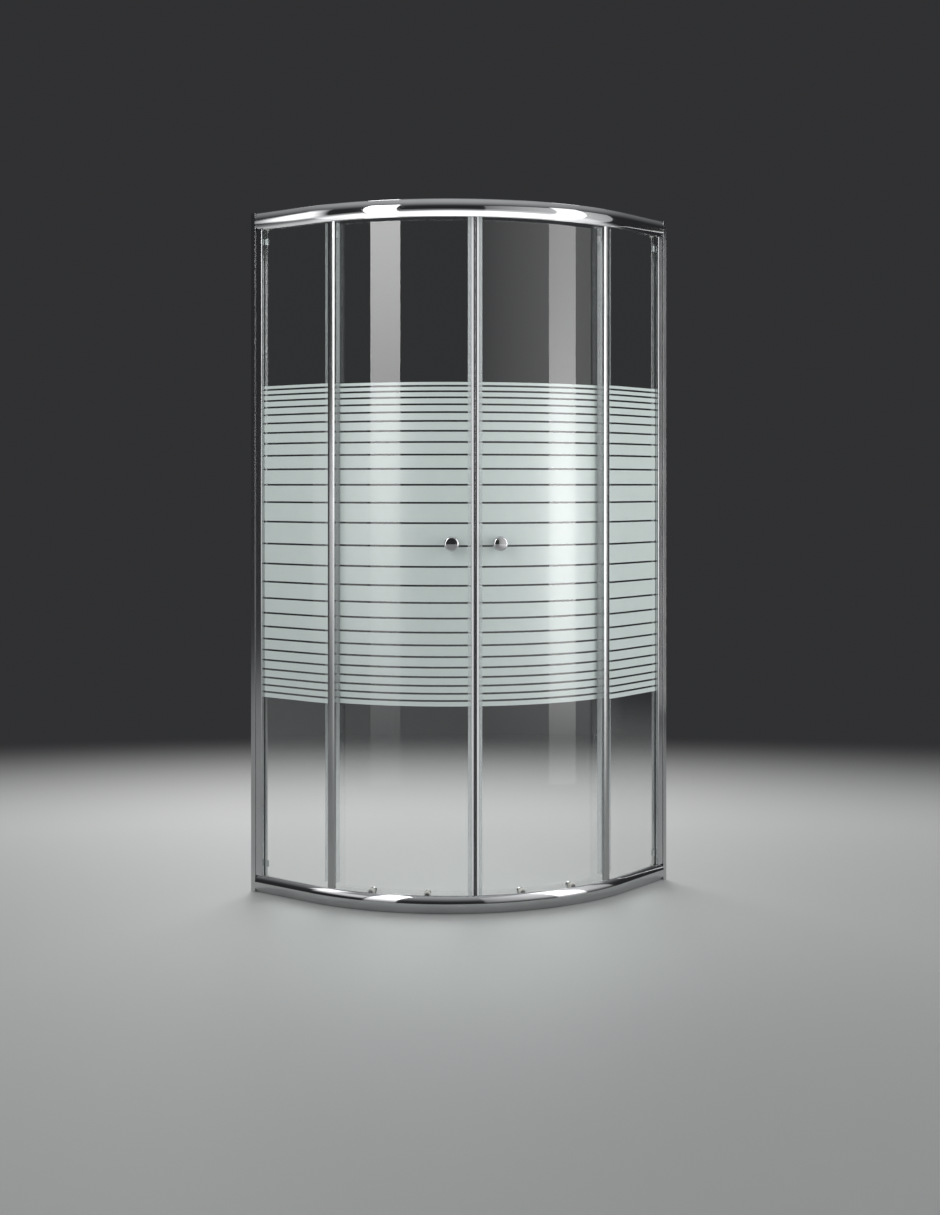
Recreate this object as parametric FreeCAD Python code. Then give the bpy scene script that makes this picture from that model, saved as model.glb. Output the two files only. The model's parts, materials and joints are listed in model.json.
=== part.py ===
import FreeCAD
import Part
import math
import os

# Curved corner shower enclosure: two fixed panes and two curved sliding doors that meet
# in the middle, hung between a top rail and a bottom rail, with a profile on each wall.
# The room corner is at (-side/2, +side/2), the origin at floor level under the middle.
# u is the distance inwards from the rails' outer face, t the distance from a wall.
# theta is the angle from the doors' meeting line, about the centre of the front curve.

Vec = FreeCAD.Vector
UP = Vec(0, 0, 1)

# Overall size, in millimetres
side = 800.0
height = 1800.0
leg = 200.0

# Angles from the doors' meeting line, in degrees
quarter = 45.0
pane_edge = 37.1
wheel_angles = (12.3, 27.1)
door_travel = 21.0

# Rails
rail_height = 45.0
rail_bulge = 9.0
rail_wall = 2.0
rail_edge = 3.0
fin_wall = 2.0
bottom_fin = 38.0
bottom_floor = 28.0
top_floor = 35.0
floor_wall = 2.0
lip_gap = 7.2
lip_wall = 1.6
lip_height = 6.0
rail_cover = 0.5

# Panes and their rubber
pane_thickness = 5.0
glazing = 1.5
glazing_bed = 3.0
glazing_grip = 34.0

# Sliding doors
door_thickness = 5.0
door_gap = 2.5
door_overlap = 26.0
door_front = 9.0
meeting_gap = 0.5

# Rollers
wheel_width = 9.0
groove_width = 4.4
groove_depth = 2.0
groove_slope = 0.4
wheel_chamfer = 0.6
top_tread = 9.0
bottom_tread = 7.0
track_play = 0.3
wheel_play = 0.3
axle_radius = 3.0
axle_play = 0.05
axle_head_radius = 5.0
axle_head = 2.6
axle_end = 5.5
roller_hole = 6.0
bush_play = 0.1
bush_flange = 8.0
nut_radius = 9.0
nut_depth = 9.0
nut_round = 3.0
hole_margin = 14.0

# Knobs
knob_height = 931.0
knob_arc = 60.0
knob_radius = 19.0
knob_depth = 28.0
knob_rim = 6.0
knob_neck = 9.5
knob_base = 12.0
knob_base_depth = 2.0
knob_neck_depth = 5.0
knob_flare = 12.0
inner_knob_radius = 14.0
inner_knob_depth = 14.0
knob_washer = 1.5
knob_hole = 5.0
knob_screw = 3.0
knob_screw_grip = 10.0

# Seals
seal_wall = 1.2
seal_grip = 9.0
magnet_bulge = 2.0
magnet_round = 1.6
magnet_skin = 0.7
magnet_width = 3.8
magnet_play = 0.1
fin_thickness = 1.2
fin_clearance = 0.6
seal_end = 13.0
edge_profile_wall = 1.2
edge_profile_bulge = 1.6
edge_profile_nose = 3.0
edge_profile_grip = 17.0
edge_seal_grip = 8.0

# Profiles on the walls
wall_depth = 15.0
wall_web = 1.5
wall_round = 0.6
profile_reach = 38.0
profile_wall = 2.0
profile_front = 8.0
profile_back = 10.0
profile_slot = 12.0
profile_round = 3.0
slide_gap = 0.3
back_gap = 0.5
end_gap = 0.5
wall_hole = 2.6
wall_hole_inset = 150.0
wall_hole_count = 4

# Small fittings
fit_gap = 0.1
block_gap = 0.3
port_inset = 6.0
frame_screw = 2.0
frame_screw_head = 4.0
frame_screw_grip = 25.0
lock_screw = 1.9
lock_screw_head = 4.0
lock_screw_head_depth = 2.2
lock_screw_grip = 5.0
lock_screw_inset = 300.0
lock_screw_count = 3
cap_wall = 1.4
clip_length = 10.0
clip_depth = 5.5
clip_height = 16.0
clip_offset = 24.0
clip_round = 2.0
stop_length = 12.0
stop_margin = 3.5
stop_rise = 15.0
stop_gap = 0.8
bumper_width = 10.0
bumper_depth = 7.5
bumper_height = 16.0
bumper_drop = 22.0
bumper_inset = 4.0

# Positions that follow from the sizes
front_radius = side - leg
centre = Vec(leg - side / 2, side / 2 - leg, 0)
slot_outer = rail_bulge + rail_edge
pane_outer = slot_outer + glazing
pane_inner = pane_outer + pane_thickness
slot_inner = pane_inner + glazing
fin_inner = slot_inner + fin_wall
lip_outer = fin_inner + lip_gap
lip_inner = lip_outer + lip_wall
lip_middle = (lip_outer + lip_inner) / 2
wheel_outer = lip_middle - wheel_width / 2
wheel_inner = lip_middle + wheel_width / 2
rail_inner = wheel_inner + rail_cover
door_outer = rail_inner + door_gap
door_inner = door_outer + door_thickness
pane_radius = front_radius - (pane_outer + pane_inner) / 2
door_radius = front_radius - (door_outer + door_inner) / 2
rail_start = wall_depth + end_gap
side_outer = slot_outer - profile_front
side_inner = slot_inner + profile_back
wall_outer = side_outer - slide_gap - wall_web
wall_inner = side_inner + slide_gap + wall_web
slot_back = profile_reach - profile_slot
web_back = slot_back - profile_wall
side_back = wall_web + back_gap
port_t = profile_reach - port_inset
port_u = (slot_inner + side_inner) / 2
top_axis = height - top_floor + lip_height + top_tread + track_play
bottom_axis = bottom_floor + floor_wall + lip_height + bottom_tread + track_play
door_bottom = bottom_axis - hole_margin
door_top = top_axis + hole_margin
seal_bottom = rail_height + seal_end
seal_top = height - rail_height - fin_wall


def pane_angle(arc):
    return math.degrees(arc / pane_radius)


def door_angle(arc):
    return math.degrees(arc / door_radius)


door_edge = door_angle(door_front)
door_rear = pane_edge + door_angle(door_overlap)
knob_angle = door_angle(knob_arc)


# Shape helpers

def plan(t, u, z=0.0):
    """A point by its distance from the left wall, its depth from the outer face and its height."""
    return Vec(t - side / 2, u - side / 2, z)


def polar(theta, u):
    """A point on the plan by its angle from the meeting line and its depth from the outer face."""
    bearing = math.radians(-quarter - theta)
    return centre + Vec(math.cos(bearing), math.sin(bearing), 0) * (front_radius - u)


def rounded_loop(corners):
    """A closed wire through (point, radius) corners, with an arc at each radius above zero."""
    stops = []
    for index, (here, radius) in enumerate(corners):
        if radius <= 0:
            stops.append((here, None, here))
            continue
        back = (corners[index - 1][0] - here).normalize()
        on = (corners[(index + 1) % len(corners)][0] - here).normalize()
        half = back.getAngle(on) / 2
        reach = radius / math.tan(half)
        inward = (back + on).normalize()
        middle = here + inward * (radius / math.sin(half) - radius)
        stops.append((here + back * reach, middle, here + on * reach))
    edges = []
    for index, (start, middle, end) in enumerate(stops):
        if middle is not None:
            edges.append(Part.Arc(start, middle, end).toShape())
        after = stops[(index + 1) % len(stops)][0]
        if end.distanceToPoint(after) > 1e-6:
            edges.append(Part.LineSegment(end, after).toShape())
    return Part.Wire(edges)


def flat(points, make):
    """A plane face through points given as two numbers and an optional corner radius."""
    corners = [(make(p[0], p[1]), p[2] if len(p) > 2 else 0.0) for p in points]
    return Part.Face(rounded_loop(corners))


def at_front(u, z):
    """A point of a rail section, in the plane where the left leg meets the curve."""
    return plan(leg, u, z)


def rectangle(u0, u1, z0, z1):
    return flat([(u0, z0), (u1, z0), (u1, z1), (u0, z1)], at_front)


def mirrored(shape):
    """The same piece on the right-hand side of the meeting line."""
    return shape.mirror(Vec(0, 0, 0), Vec(1, 1, 0))


def joined(shapes):
    return shapes[0].fuse(shapes[1:]).removeSplitter()


def along_leg(face, t_start):
    return face.extrude(Vec(t_start - leg, 0, 0))


def round_front(face, theta_front, theta_rear):
    """Sweep a section about the curve's centre, between two angles from the meeting line."""
    turned = face.rotated(centre, UP, quarter - theta_rear)
    return turned.revolve(centre, UP, theta_rear - theta_front)


def pane_sweep(face, t_start):
    """Sweep a section along the left leg and round to the fixed pane's free edge."""
    return joined([along_leg(face, t_start), round_front(face, pane_edge, quarter)])


def arc_box(u0, u1, z0, z1, theta_front, theta_rear):
    return round_front(rectangle(u0, u1, z0, z1), theta_front, theta_rear)


def risen(face, z0, z1):
    return face.translated(Vec(0, 0, z0)).extrude(Vec(0, 0, z1 - z0))


def upright(points, z0, z1):
    """A vertical bar with a section drawn in t and u."""
    return risen(flat(points, plan), z0, z1)


def curve_edge(u, theta_start, theta_end, bulge=0.0):
    """Part of a plan section that follows the front curve, or swells out from it."""
    middle = polar((theta_start + theta_end) / 2, u - bulge)
    return Part.Arc(polar(theta_start, u), middle, polar(theta_end, u)).toShape()


def step_edge(theta, u_start, u_end):
    return Part.LineSegment(polar(theta, u_start), polar(theta, u_end)).toShape()


def to_angle(shape, theta):
    """Turn a shape made where the leg meets the curve to its angle from the meeting line."""
    return shape.rotated(centre, UP, quarter - theta)


def lathe(points, z):
    """Turn an outline of radius and depth about the inward axis at a height."""
    def place(radius, u):
        return plan(leg + radius, u, z)
    return flat(points, place).revolve(plan(leg, 0, z), Vec(0, 1, 0), 360)


def pin(radius, u0, u1, z):
    return Part.makeCylinder(radius, u1 - u0, plan(leg, u0, z), Vec(0, 1, 0))


def post(radius, t, u, z0, z1):
    return Part.makeCylinder(radius, z1 - z0, plan(t, u, z0))


def sag(radius):
    """How far the doors' hollow face leaves a flat disc's centre."""
    hollow = front_radius - door_inner
    return hollow - math.sqrt(hollow ** 2 - radius ** 2)


# Rails

def rail_face(corners):
    """A rail section: straight corners, closed by the bulging outer face and its hollow."""
    points = [at_front(u, z) for u, z in corners]
    low = min(points[0].z, points[-1].z)
    middle = low + rail_height / 2
    edges = [Part.LineSegment(a, b).toShape() for a, b in zip(points, points[1:])]
    edges.append(Part.Arc(points[-1], at_front(0, middle), points[0]).toShape())
    bend = ((rail_height / 2) ** 2 + rail_bulge ** 2) / (2 * rail_bulge)
    half = rail_height / 2 - rail_wall - fin_wall
    back = slot_outer - fin_wall
    front = bend - math.sqrt((bend - rail_wall) ** 2 - half ** 2)
    ends = [at_front(front, middle - half), at_front(front, middle + half)]
    backs = [at_front(back, middle + half), at_front(back, middle - half)]
    hollow = [Part.Arc(ends[0], at_front(rail_wall, middle), ends[1]).toShape(),
              Part.LineSegment(ends[1], backs[0]).toShape(),
              Part.LineSegment(backs[0], backs[1]).toShape(),
              Part.LineSegment(backs[1], ends[0]).toShape()]
    return Part.Face(Part.Wire(edges)).cut(Part.Face(Part.Wire(hollow))).Faces[0]


def rail(face):
    """The whole rail: a straight leg on each side and a quarter turn between them."""
    left = along_leg(face, rail_start)
    return joined([left, round_front(face, -quarter, quarter), mirrored(left)])


def end_notch(z0, z1):
    """The room milled out of a rail's end for its connecting block."""
    size = (profile_reach + block_gap, rail_inner + fin_wall - fin_inner, z1 - z0)
    return Part.makeBox(*size, plan(0, fin_inner, z0))


def countersink(z, inward):
    """A screw's way through a rail's web, from its outer face at height z."""
    hole = post(frame_screw + fit_gap, port_t, port_u, min(z, z + inward), max(z, z + inward))
    cone = Part.makeCone(frame_screw_head + fit_gap, frame_screw + fit_gap, rail_wall,
                         plan(port_t, port_u, z), Vec(0, 0, inward))
    return hole.fuse(cone)


def bottom_rail():
    floor_top = bottom_floor + floor_wall
    lip_top = floor_top + lip_height
    face = rail_face([
        (rail_bulge, 0), (rail_inner, 0), (rail_inner, rail_wall), (fin_inner, rail_wall),
        (fin_inner, bottom_floor), (lip_inner, bottom_floor), (lip_inner, lip_top),
        (lip_outer, lip_top), (lip_outer, floor_top), (fin_inner, floor_top),
        (fin_inner, bottom_fin), (slot_inner, bottom_fin), (slot_inner, rail_wall),
        (slot_outer, rail_wall), (slot_outer, rail_height), (rail_bulge, rail_height)])
    notch = end_notch(rail_wall, rail_height)
    hole = countersink(0, rail_wall)
    return rail(face).cut([notch, mirrored(notch), hole, mirrored(hole)])


def top_rail():
    top = height
    low = height - rail_height
    web = top - rail_wall
    floor_top = top - top_floor
    floor = floor_top - floor_wall
    lip_top = floor_top + lip_height
    face = rail_face([
        (rail_bulge, top), (rail_inner, top), (rail_inner, web), (fin_inner, web),
        (fin_inner, floor_top), (lip_outer, floor_top), (lip_outer, lip_top),
        (lip_inner, lip_top), (lip_inner, floor), (slot_inner, floor),
        (slot_inner, web), (slot_outer, web), (slot_outer, low), (rail_bulge, low)])
    notch = end_notch(low, web)
    hole = countersink(top, -rail_wall)
    return rail(face).cut([notch, mirrored(notch), hole, mirrored(hole)])


def end_block(z0, z1):
    """The block that closes a rail's end and carries the side profile's screw."""
    block = upright([(rail_start, fin_inner + fit_gap), (profile_reach, fin_inner + fit_gap),
                     (profile_reach, rail_inner, clip_round), (rail_start, rail_inner)], z0, z1)
    return block.cut(post(frame_screw + fit_gap, port_t, port_u, z0, z1))


def frame_screw_at(z, direction):
    """A countersunk screw from a rail's outer face into the side profile's port."""
    length = rail_height + frame_screw_grip
    start = plan(port_t, port_u, z)
    shank = Part.makeCylinder(frame_screw, length, start, Vec(0, 0, direction))
    head = Part.makeCone(frame_screw_head, frame_screw, rail_wall, start, Vec(0, 0, direction))
    return shank.fuse(head).removeSplitter()


# Profiles on the walls

def spaced(inset, count):
    step = (height - 2 * inset) / (count - 1)
    return [inset + step * index for index in range(count)]


def lock_pins(radius, u0, u1):
    pins = [pin(radius, u0, u1, z) for z in spaced(lock_screw_inset, lock_screw_count)]
    return [p.translated(Vec(wall_depth / 2 - leg, 0, 0)) for p in pins]


def wall_profile():
    """The channel that is screwed to the wall."""
    outer = wall_outer + wall_web
    inner = wall_inner - wall_web
    bar = upright([(0, wall_outer), (wall_depth, wall_outer, wall_round), (wall_depth, outer),
                   (wall_web, outer), (wall_web, inner), (wall_depth, inner),
                   (wall_depth, wall_inner, wall_round), (0, wall_inner)], 0, height)
    middle = (wall_outer + wall_inner) / 2
    holes = [Part.makeCylinder(wall_hole, wall_web, plan(0, middle, z), Vec(1, 0, 0))
             for z in spaced(wall_hole_inset, wall_hole_count)]
    return bar.cut(holes + lock_pins(lock_screw + fit_gap, inner, wall_inner))


def side_profile():
    """The bar that slides in the wall channel and holds the pane's upright edge."""
    outer = side_outer + profile_wall
    inner = side_inner - profile_wall
    low = rail_height
    top = height - rail_height
    bar = upright([
        (side_back, side_outer), (profile_reach, side_outer, profile_round),
        (profile_reach, slot_outer), (slot_back, slot_outer), (slot_back, slot_inner),
        (profile_reach, slot_inner), (profile_reach, side_inner, profile_round),
        (side_back, side_inner), (side_back, inner), (web_back, inner), (web_back, outer),
        (side_back, outer)], low, top)
    chamber = upright([
        (slot_back, outer), (profile_reach - profile_wall, outer),
        (profile_reach - profile_wall, slot_outer - profile_wall),
        (slot_back, slot_outer - profile_wall)], low, top)
    port = post(frame_screw + fit_gap, port_t, port_u, low, top)
    return bar.cut([chamber, port] + lock_pins(lock_screw + fit_gap, inner, side_inner))


def lock_screws():
    shanks = lock_pins(lock_screw, wall_inner - lock_screw_grip, wall_inner)
    heads = lock_pins(lock_screw_head, wall_inner, wall_inner + lock_screw_head_depth)
    return [shank.fuse(head).removeSplitter() for shank, head in zip(shanks, heads)]


def screw_caps():
    """Snap-on caps over the lock screws' heads."""
    bore = lock_screw_head + fit_gap
    outer = bore + cap_wall
    inside = wall_inner + lock_screw_head_depth + fit_gap
    crown = inside + cap_wall
    cap = lathe([(0, inside), (bore, inside), (bore, wall_inner), (outer, wall_inner),
                 (outer, crown, cap_wall), (0, crown)], 0)
    shift = wall_depth / 2 - leg
    return [cap.translated(Vec(shift, 0, z)) for z in spaced(lock_screw_inset, lock_screw_count)]


# Fixed panes

def fixed_pane():
    bottom = rail_wall + glazing_bed
    return pane_sweep(rectangle(pane_outer, pane_inner, bottom, height - bottom),
                      slot_back + glazing)


def rail_gasket(z_web, z_bed, z_lip):
    """The rubber channel that beds a pane in a rail."""
    face = flat([(slot_outer, z_web), (slot_inner, z_web), (slot_inner, z_lip),
                 (pane_inner, z_lip), (pane_inner, z_bed), (pane_outer, z_bed),
                 (pane_outer, z_lip), (slot_outer, z_lip)], at_front)
    return pane_sweep(face, slot_back)


def bottom_gasket():
    return rail_gasket(rail_wall, rail_wall + glazing_bed, rail_wall + glazing_grip)


def top_gasket():
    web = height - rail_wall
    return rail_gasket(web, web - glazing_bed, web - glazing_grip)


def side_gasket():
    """The rubber channel round the pane's upright edge in the side profile."""
    front = slot_back + glazing
    return upright([(slot_back, slot_outer), (profile_reach, slot_outer),
                    (profile_reach, pane_outer), (front, pane_outer), (front, pane_inner),
                    (profile_reach, pane_inner), (profile_reach, slot_inner),
                    (slot_back, slot_inner)], rail_height, height - rail_height)


def edge_profile():
    """The metal channel on the fixed pane's free edge, with a swelling outer face."""
    nose = pane_edge - pane_angle(edge_profile_nose)
    grip = pane_edge + pane_angle(edge_profile_grip)
    outer = slot_outer + edge_profile_wall
    inner = slot_inner - edge_profile_wall
    section = [curve_edge(slot_outer, nose, grip, edge_profile_bulge),
               step_edge(grip, slot_outer, outer),
               curve_edge(outer, grip, pane_edge),
               step_edge(pane_edge, outer, inner),
               curve_edge(inner, pane_edge, grip),
               step_edge(grip, inner, slot_inner),
               curve_edge(slot_inner, grip, nose),
               step_edge(nose, slot_inner, slot_outer)]
    return risen(Part.Face(Part.Wire(section)), rail_height, height - rail_height)


def edge_seal():
    """The flexible fin from the fixed pane's edge to the door."""
    base = slot_inner + seal_wall
    tip = door_outer - fin_clearance
    front = pane_edge - pane_angle(edge_profile_nose)
    return joined([
        arc_box(slot_inner, base, seal_bottom, seal_top, front,
                pane_edge + pane_angle(edge_seal_grip)),
        arc_box(slot_inner, tip, seal_bottom, seal_top, front, front + pane_angle(fin_thickness))])


def glass_clip(z0):
    """A clip that presses the pane into the side profile from inside."""
    return upright([(profile_reach, pane_inner), (profile_reach + clip_length, pane_inner),
                    (profile_reach + clip_length, pane_inner + clip_depth, clip_round),
                    (profile_reach, pane_inner + clip_depth)], z0, z0 + clip_height)


def glass_clips():
    low = glass_clip(rail_height + clip_offset)
    top = glass_clip(height - rail_height - clip_offset - clip_height)
    return [low, top, mirrored(low), mirrored(top)]


def door_stop():
    """A rubber buffer over the top track, just past the rear roller's last place."""
    reach = (front_radius - lip_middle) * math.sin(
        math.radians(wheel_angles[-1] + door_travel - quarter))
    far = leg - reach - top_tread - groove_depth - stop_gap
    base = height - top_floor
    block = upright([(far - stop_length, lip_outer - stop_margin), (far, lip_outer - stop_margin),
                     (far, lip_inner + stop_margin), (far - stop_length, lip_inner + stop_margin)],
                    base, base + stop_rise)
    slot = upright([(far - stop_length, lip_outer), (far, lip_outer), (far, lip_inner),
                    (far - stop_length, lip_inner)], base, base + lip_height)
    return block.cut(slot)


# Sliding doors

def roller_places():
    """Angle and height of each roller: the top pair, then the bottom pair."""
    return [(theta, z) for z in (top_axis, bottom_axis) for theta in wheel_angles]


def door_glass():
    glass = arc_box(door_outer, door_inner, door_bottom, door_top, door_edge, door_rear)
    holes = [to_angle(pin(roller_hole, rail_inner, door_inner + door_gap, z), theta)
             for theta, z in roller_places()]
    holes.append(to_angle(pin(knob_hole, rail_inner, door_inner + door_gap, knob_height),
                          knob_angle))
    return glass.cut(holes)


def door_seal_grip(theta_front, theta_rear, z0, z1):
    """The two lips of a seal that hold a door's edge."""
    return [arc_box(door_outer - seal_wall, door_outer, z0, z1, theta_front, theta_rear),
            arc_box(door_inner, door_inner + seal_wall, z0, z1, theta_front, theta_rear)]


def magnet_ends():
    """The angles between which the magnet lies in its chamber."""
    front = door_angle(meeting_gap / 2 + magnet_skin)
    return front, front + door_angle(magnet_width)


def magnet_seal():
    """The seal on a door's meeting edge: two lips, and a rounded chamber for the magnet."""
    front = door_angle(meeting_gap / 2)
    web = door_edge - door_angle(seal_wall)
    outer = door_outer - magnet_bulge
    inner = door_inner + magnet_bulge
    chamber_front, chamber_rear = magnet_ends()
    nose = flat([(front, outer, magnet_round), (front, inner, magnet_round),
                 (chamber_rear, inner, magnet_round), (door_edge, door_inner + seal_wall),
                 (door_edge, door_outer - seal_wall), (chamber_rear, outer, magnet_round)], polar)
    body = joined([risen(nose, door_bottom, door_top)]
                  + door_seal_grip(web, door_edge + door_angle(seal_grip), door_bottom, door_top))
    return body.cut(arc_box(outer + seal_wall, inner - seal_wall, door_bottom, door_top,
                            chamber_front, chamber_rear))


def magnet_strip():
    inset = seal_wall + magnet_play
    play = door_angle(magnet_play)
    front, rear = magnet_ends()
    return arc_box(door_outer - magnet_bulge + inset, door_inner + magnet_bulge - inset,
                   door_bottom, door_top, front + play, rear - play)


def rear_seal():
    """The seal on a door's rear edge, with a fin towards the fixed pane."""
    front = door_rear - door_angle(seal_grip)
    rear = door_rear + door_angle(seal_wall)
    tip = pane_inner + fin_clearance
    return joined([
        arc_box(door_outer - seal_wall, door_inner + seal_wall, seal_bottom, seal_top,
                door_rear, rear),
        arc_box(tip, door_outer, seal_bottom, seal_top, rear - door_angle(fin_thickness), rear)]
        + door_seal_grip(front, rear, seal_bottom, seal_top))


def rear_bumper():
    """A small block on the door's outer face that meets the fixed pane's edge seal."""
    rear = door_rear - door_angle(seal_grip + bumper_inset)
    top = height - rail_height - bumper_drop
    face = flat([(door_outer - bumper_depth, top - bumper_height), (door_outer, top - bumper_height),
                 (door_outer, top), (door_outer - bumper_depth, top, bumper_depth / 2)], at_front)
    return round_front(face, rear - door_angle(bumper_width), rear)


def outer_knob():
    base = door_outer - knob_washer
    front = base - knob_depth
    flare = base - knob_base_depth - knob_neck_depth
    knob = lathe([(0, base), (knob_base, base), (knob_base, base - knob_base_depth, knob_base_depth / 2),
                  (knob_neck, flare, knob_neck_depth / 2),
                  (knob_radius, base - knob_flare, knob_rim / 2),
                  (knob_radius, front, knob_rim), (0, front)], knob_height)
    hole = pin(knob_screw + fit_gap, base - knob_screw_grip - fit_gap, base, knob_height)
    return to_angle(knob.cut(hole), knob_angle)


def inner_knob():
    base = door_inner + sag(knob_base) + knob_washer
    front = base + inner_knob_depth
    knob = lathe([(0, base), (knob_base, base), (inner_knob_radius, front - knob_rim, knob_rim),
                  (inner_knob_radius, front, knob_rim / 2), (0, front)], knob_height)
    hole = pin(knob_screw + fit_gap, base, base + knob_screw_grip + fit_gap, knob_height)
    return to_angle(knob.cut(hole), knob_angle)


def knob_bolt():
    start = door_outer - knob_washer - knob_screw_grip
    end = door_inner + sag(knob_base) + knob_washer + knob_screw_grip
    return to_angle(pin(knob_screw, start, end, knob_height), knob_angle)


def knob_washers():
    inner = door_inner + sag(knob_base)
    rings = []
    for start in (door_outer - knob_washer, inner):
        disc = pin(knob_base, start, start + knob_washer, knob_height)
        hole = pin(knob_screw + fit_gap, start, start + knob_washer, knob_height)
        rings.append(to_angle(disc.cut(hole), knob_angle))
    return rings


def roller_axle(z):
    shoulder = wheel_outer - wheel_play
    head = pin(axle_head_radius, shoulder - axle_head, shoulder, z)
    return head.fuse(pin(axle_radius, shoulder, door_inner + axle_end, z)).removeSplitter()


def roller_bush(z):
    """The plastic sleeve that keeps an axle off the glass and the wheel off the door."""
    sleeve = roller_hole - bush_play
    bore = axle_radius + axle_play
    face = wheel_inner + wheel_play
    return lathe([(bore, face), (bush_flange, face), (bush_flange, door_outer),
                  (sleeve, door_outer), (sleeve, door_inner), (bore, door_inner)], z)


def roller_nut(z):
    """The domed nut on the inside of a door."""
    seat = door_inner + sag(nut_radius)
    bore = axle_radius + axle_play
    end = door_inner + axle_end + fit_gap
    return lathe([(bore, seat), (nut_radius, seat), (nut_radius, seat + nut_depth, nut_round),
                  (0, seat + nut_depth), (0, end), (bore, end)], z)


def wheel(tread, z):
    """A grooved wheel that straddles the track's lip."""
    rim = tread + groove_depth
    bore = axle_radius + axle_play
    left = lip_middle - groove_width / 2
    right = lip_middle + groove_width / 2
    return lathe([(bore, wheel_outer), (rim - wheel_chamfer, wheel_outer),
                  (rim, wheel_outer + wheel_chamfer), (rim, left - groove_slope), (tread, left),
                  (tread, right), (rim, right + groove_slope), (rim, wheel_inner - wheel_chamfer),
                  (rim - wheel_chamfer, wheel_inner), (bore, wheel_inner)], z)


def on_rollers(make):
    return [to_angle(make(z), theta) for theta, z in roller_places()]


# Nodes

def write(name, shapes):
    solids = [solid for shape in shapes for solid in shape.Solids]
    shape = solids[0] if len(solids) == 1 else Part.makeCompound(solids)
    shape.exportStep("parts/" + name + ".step")


def write_pair(name, shapes):
    """Write a left-hand piece and its mirror image."""
    write(name + "_left", shapes)
    write(name + "_right", [mirrored(shape) for shape in shapes])


def both(shapes):
    return shapes + [mirrored(shape) for shape in shapes]


os.makedirs("parts", exist_ok=True)

write("top_rail", [top_rail()])
write("bottom_rail", [bottom_rail()])
write("rail_end_blocks", both([end_block(rail_wall, rail_height),
                               end_block(height - rail_height, height - rail_wall)]))
write("frame_screws", both([frame_screw_at(0, 1), frame_screw_at(height, -1)]))
write("glass_clips", glass_clips())
write("door_stops", both([door_stop()]))
write("lock_screws", both(lock_screws()))
write("screw_caps", both(screw_caps()))
write("top_glazing", both([top_gasket()]))
write("bottom_glazing", both([bottom_gasket()]))

write_pair("wall_profile", [wall_profile()])
write_pair("side_profile", [side_profile()])
write_pair("side_glazing", [side_gasket()])
write_pair("fixed_glass", [fixed_pane()])
write_pair("edge_profile", [edge_profile()])
write_pair("edge_seal", [edge_seal()])

write_pair("door_glass", [door_glass()])
write_pair("magnet_seal", [magnet_seal()])
write_pair("magnet_strip", [magnet_strip()])
write_pair("rear_seal", [rear_seal()])
write_pair("rear_bumper", [rear_bumper()])
write_pair("outer_knob", [outer_knob()])
write_pair("inner_knob", [inner_knob()])
write_pair("knob_bolt", [knob_bolt()])
write_pair("knob_washers", knob_washers())
write_pair("roller_axles", on_rollers(roller_axle))
write_pair("roller_bushes", on_rollers(roller_bush))
write_pair("roller_nuts", on_rollers(roller_nut))

for place, theta in zip(("front", "rear"), wheel_angles):
    write_pair("top_wheel_" + place, [to_angle(wheel(top_tread, top_axis), theta)])
    write_pair("bottom_wheel_" + place, [to_angle(wheel(bottom_tread, bottom_axis), theta)])

print("rear door edge", round(door_rear, 2), "wheels", [round(a, 2) for a in wheel_angles])
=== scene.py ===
import json
import math

import bmesh
import bpy
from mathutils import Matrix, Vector


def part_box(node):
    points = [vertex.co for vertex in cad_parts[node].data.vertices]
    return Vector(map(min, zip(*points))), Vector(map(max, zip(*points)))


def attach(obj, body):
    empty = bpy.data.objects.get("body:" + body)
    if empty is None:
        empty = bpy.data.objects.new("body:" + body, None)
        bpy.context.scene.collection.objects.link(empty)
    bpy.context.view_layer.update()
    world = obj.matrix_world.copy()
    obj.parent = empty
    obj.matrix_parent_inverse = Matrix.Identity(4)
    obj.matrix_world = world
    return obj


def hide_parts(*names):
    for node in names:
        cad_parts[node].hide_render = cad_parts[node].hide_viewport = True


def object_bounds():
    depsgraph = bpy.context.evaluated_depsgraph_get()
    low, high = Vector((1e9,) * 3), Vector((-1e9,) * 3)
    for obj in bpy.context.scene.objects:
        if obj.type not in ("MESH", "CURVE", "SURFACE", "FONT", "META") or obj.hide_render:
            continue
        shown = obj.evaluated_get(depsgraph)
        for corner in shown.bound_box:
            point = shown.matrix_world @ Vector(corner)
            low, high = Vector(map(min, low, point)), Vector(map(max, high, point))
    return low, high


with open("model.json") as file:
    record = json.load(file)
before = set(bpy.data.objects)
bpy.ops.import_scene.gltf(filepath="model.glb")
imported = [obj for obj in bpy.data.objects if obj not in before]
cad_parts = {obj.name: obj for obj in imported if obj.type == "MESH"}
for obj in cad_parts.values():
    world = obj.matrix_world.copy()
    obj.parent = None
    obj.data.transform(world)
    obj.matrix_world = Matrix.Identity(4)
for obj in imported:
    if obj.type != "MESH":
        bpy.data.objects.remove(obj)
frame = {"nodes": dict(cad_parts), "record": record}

# A curved corner shower enclosure: chrome rails, frosted striped glass, sliding doors and seals.
# Lengths are metres. u is the depth behind the rails' outer face, theta the angle from the
# doors' meeting line, positive to the left, and t the distance from a wall.

cad_low, cad_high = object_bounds()

# Sizes of the frame
side = round(cad_high[0] - cad_low[0], 3)
height = round(cad_high[2], 3)
leg = 0.200
front_radius = side - leg
curve_centre = Vector((leg - side / 2, side / 2 - leg, 0.0))
quarter = 45.0
bend_step = 0.75
crisp_angle = math.radians(20)
up = Vector((0.0, 0.0, 1.0))
hands = {"left": 1.0, "right": -1.0}

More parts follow.
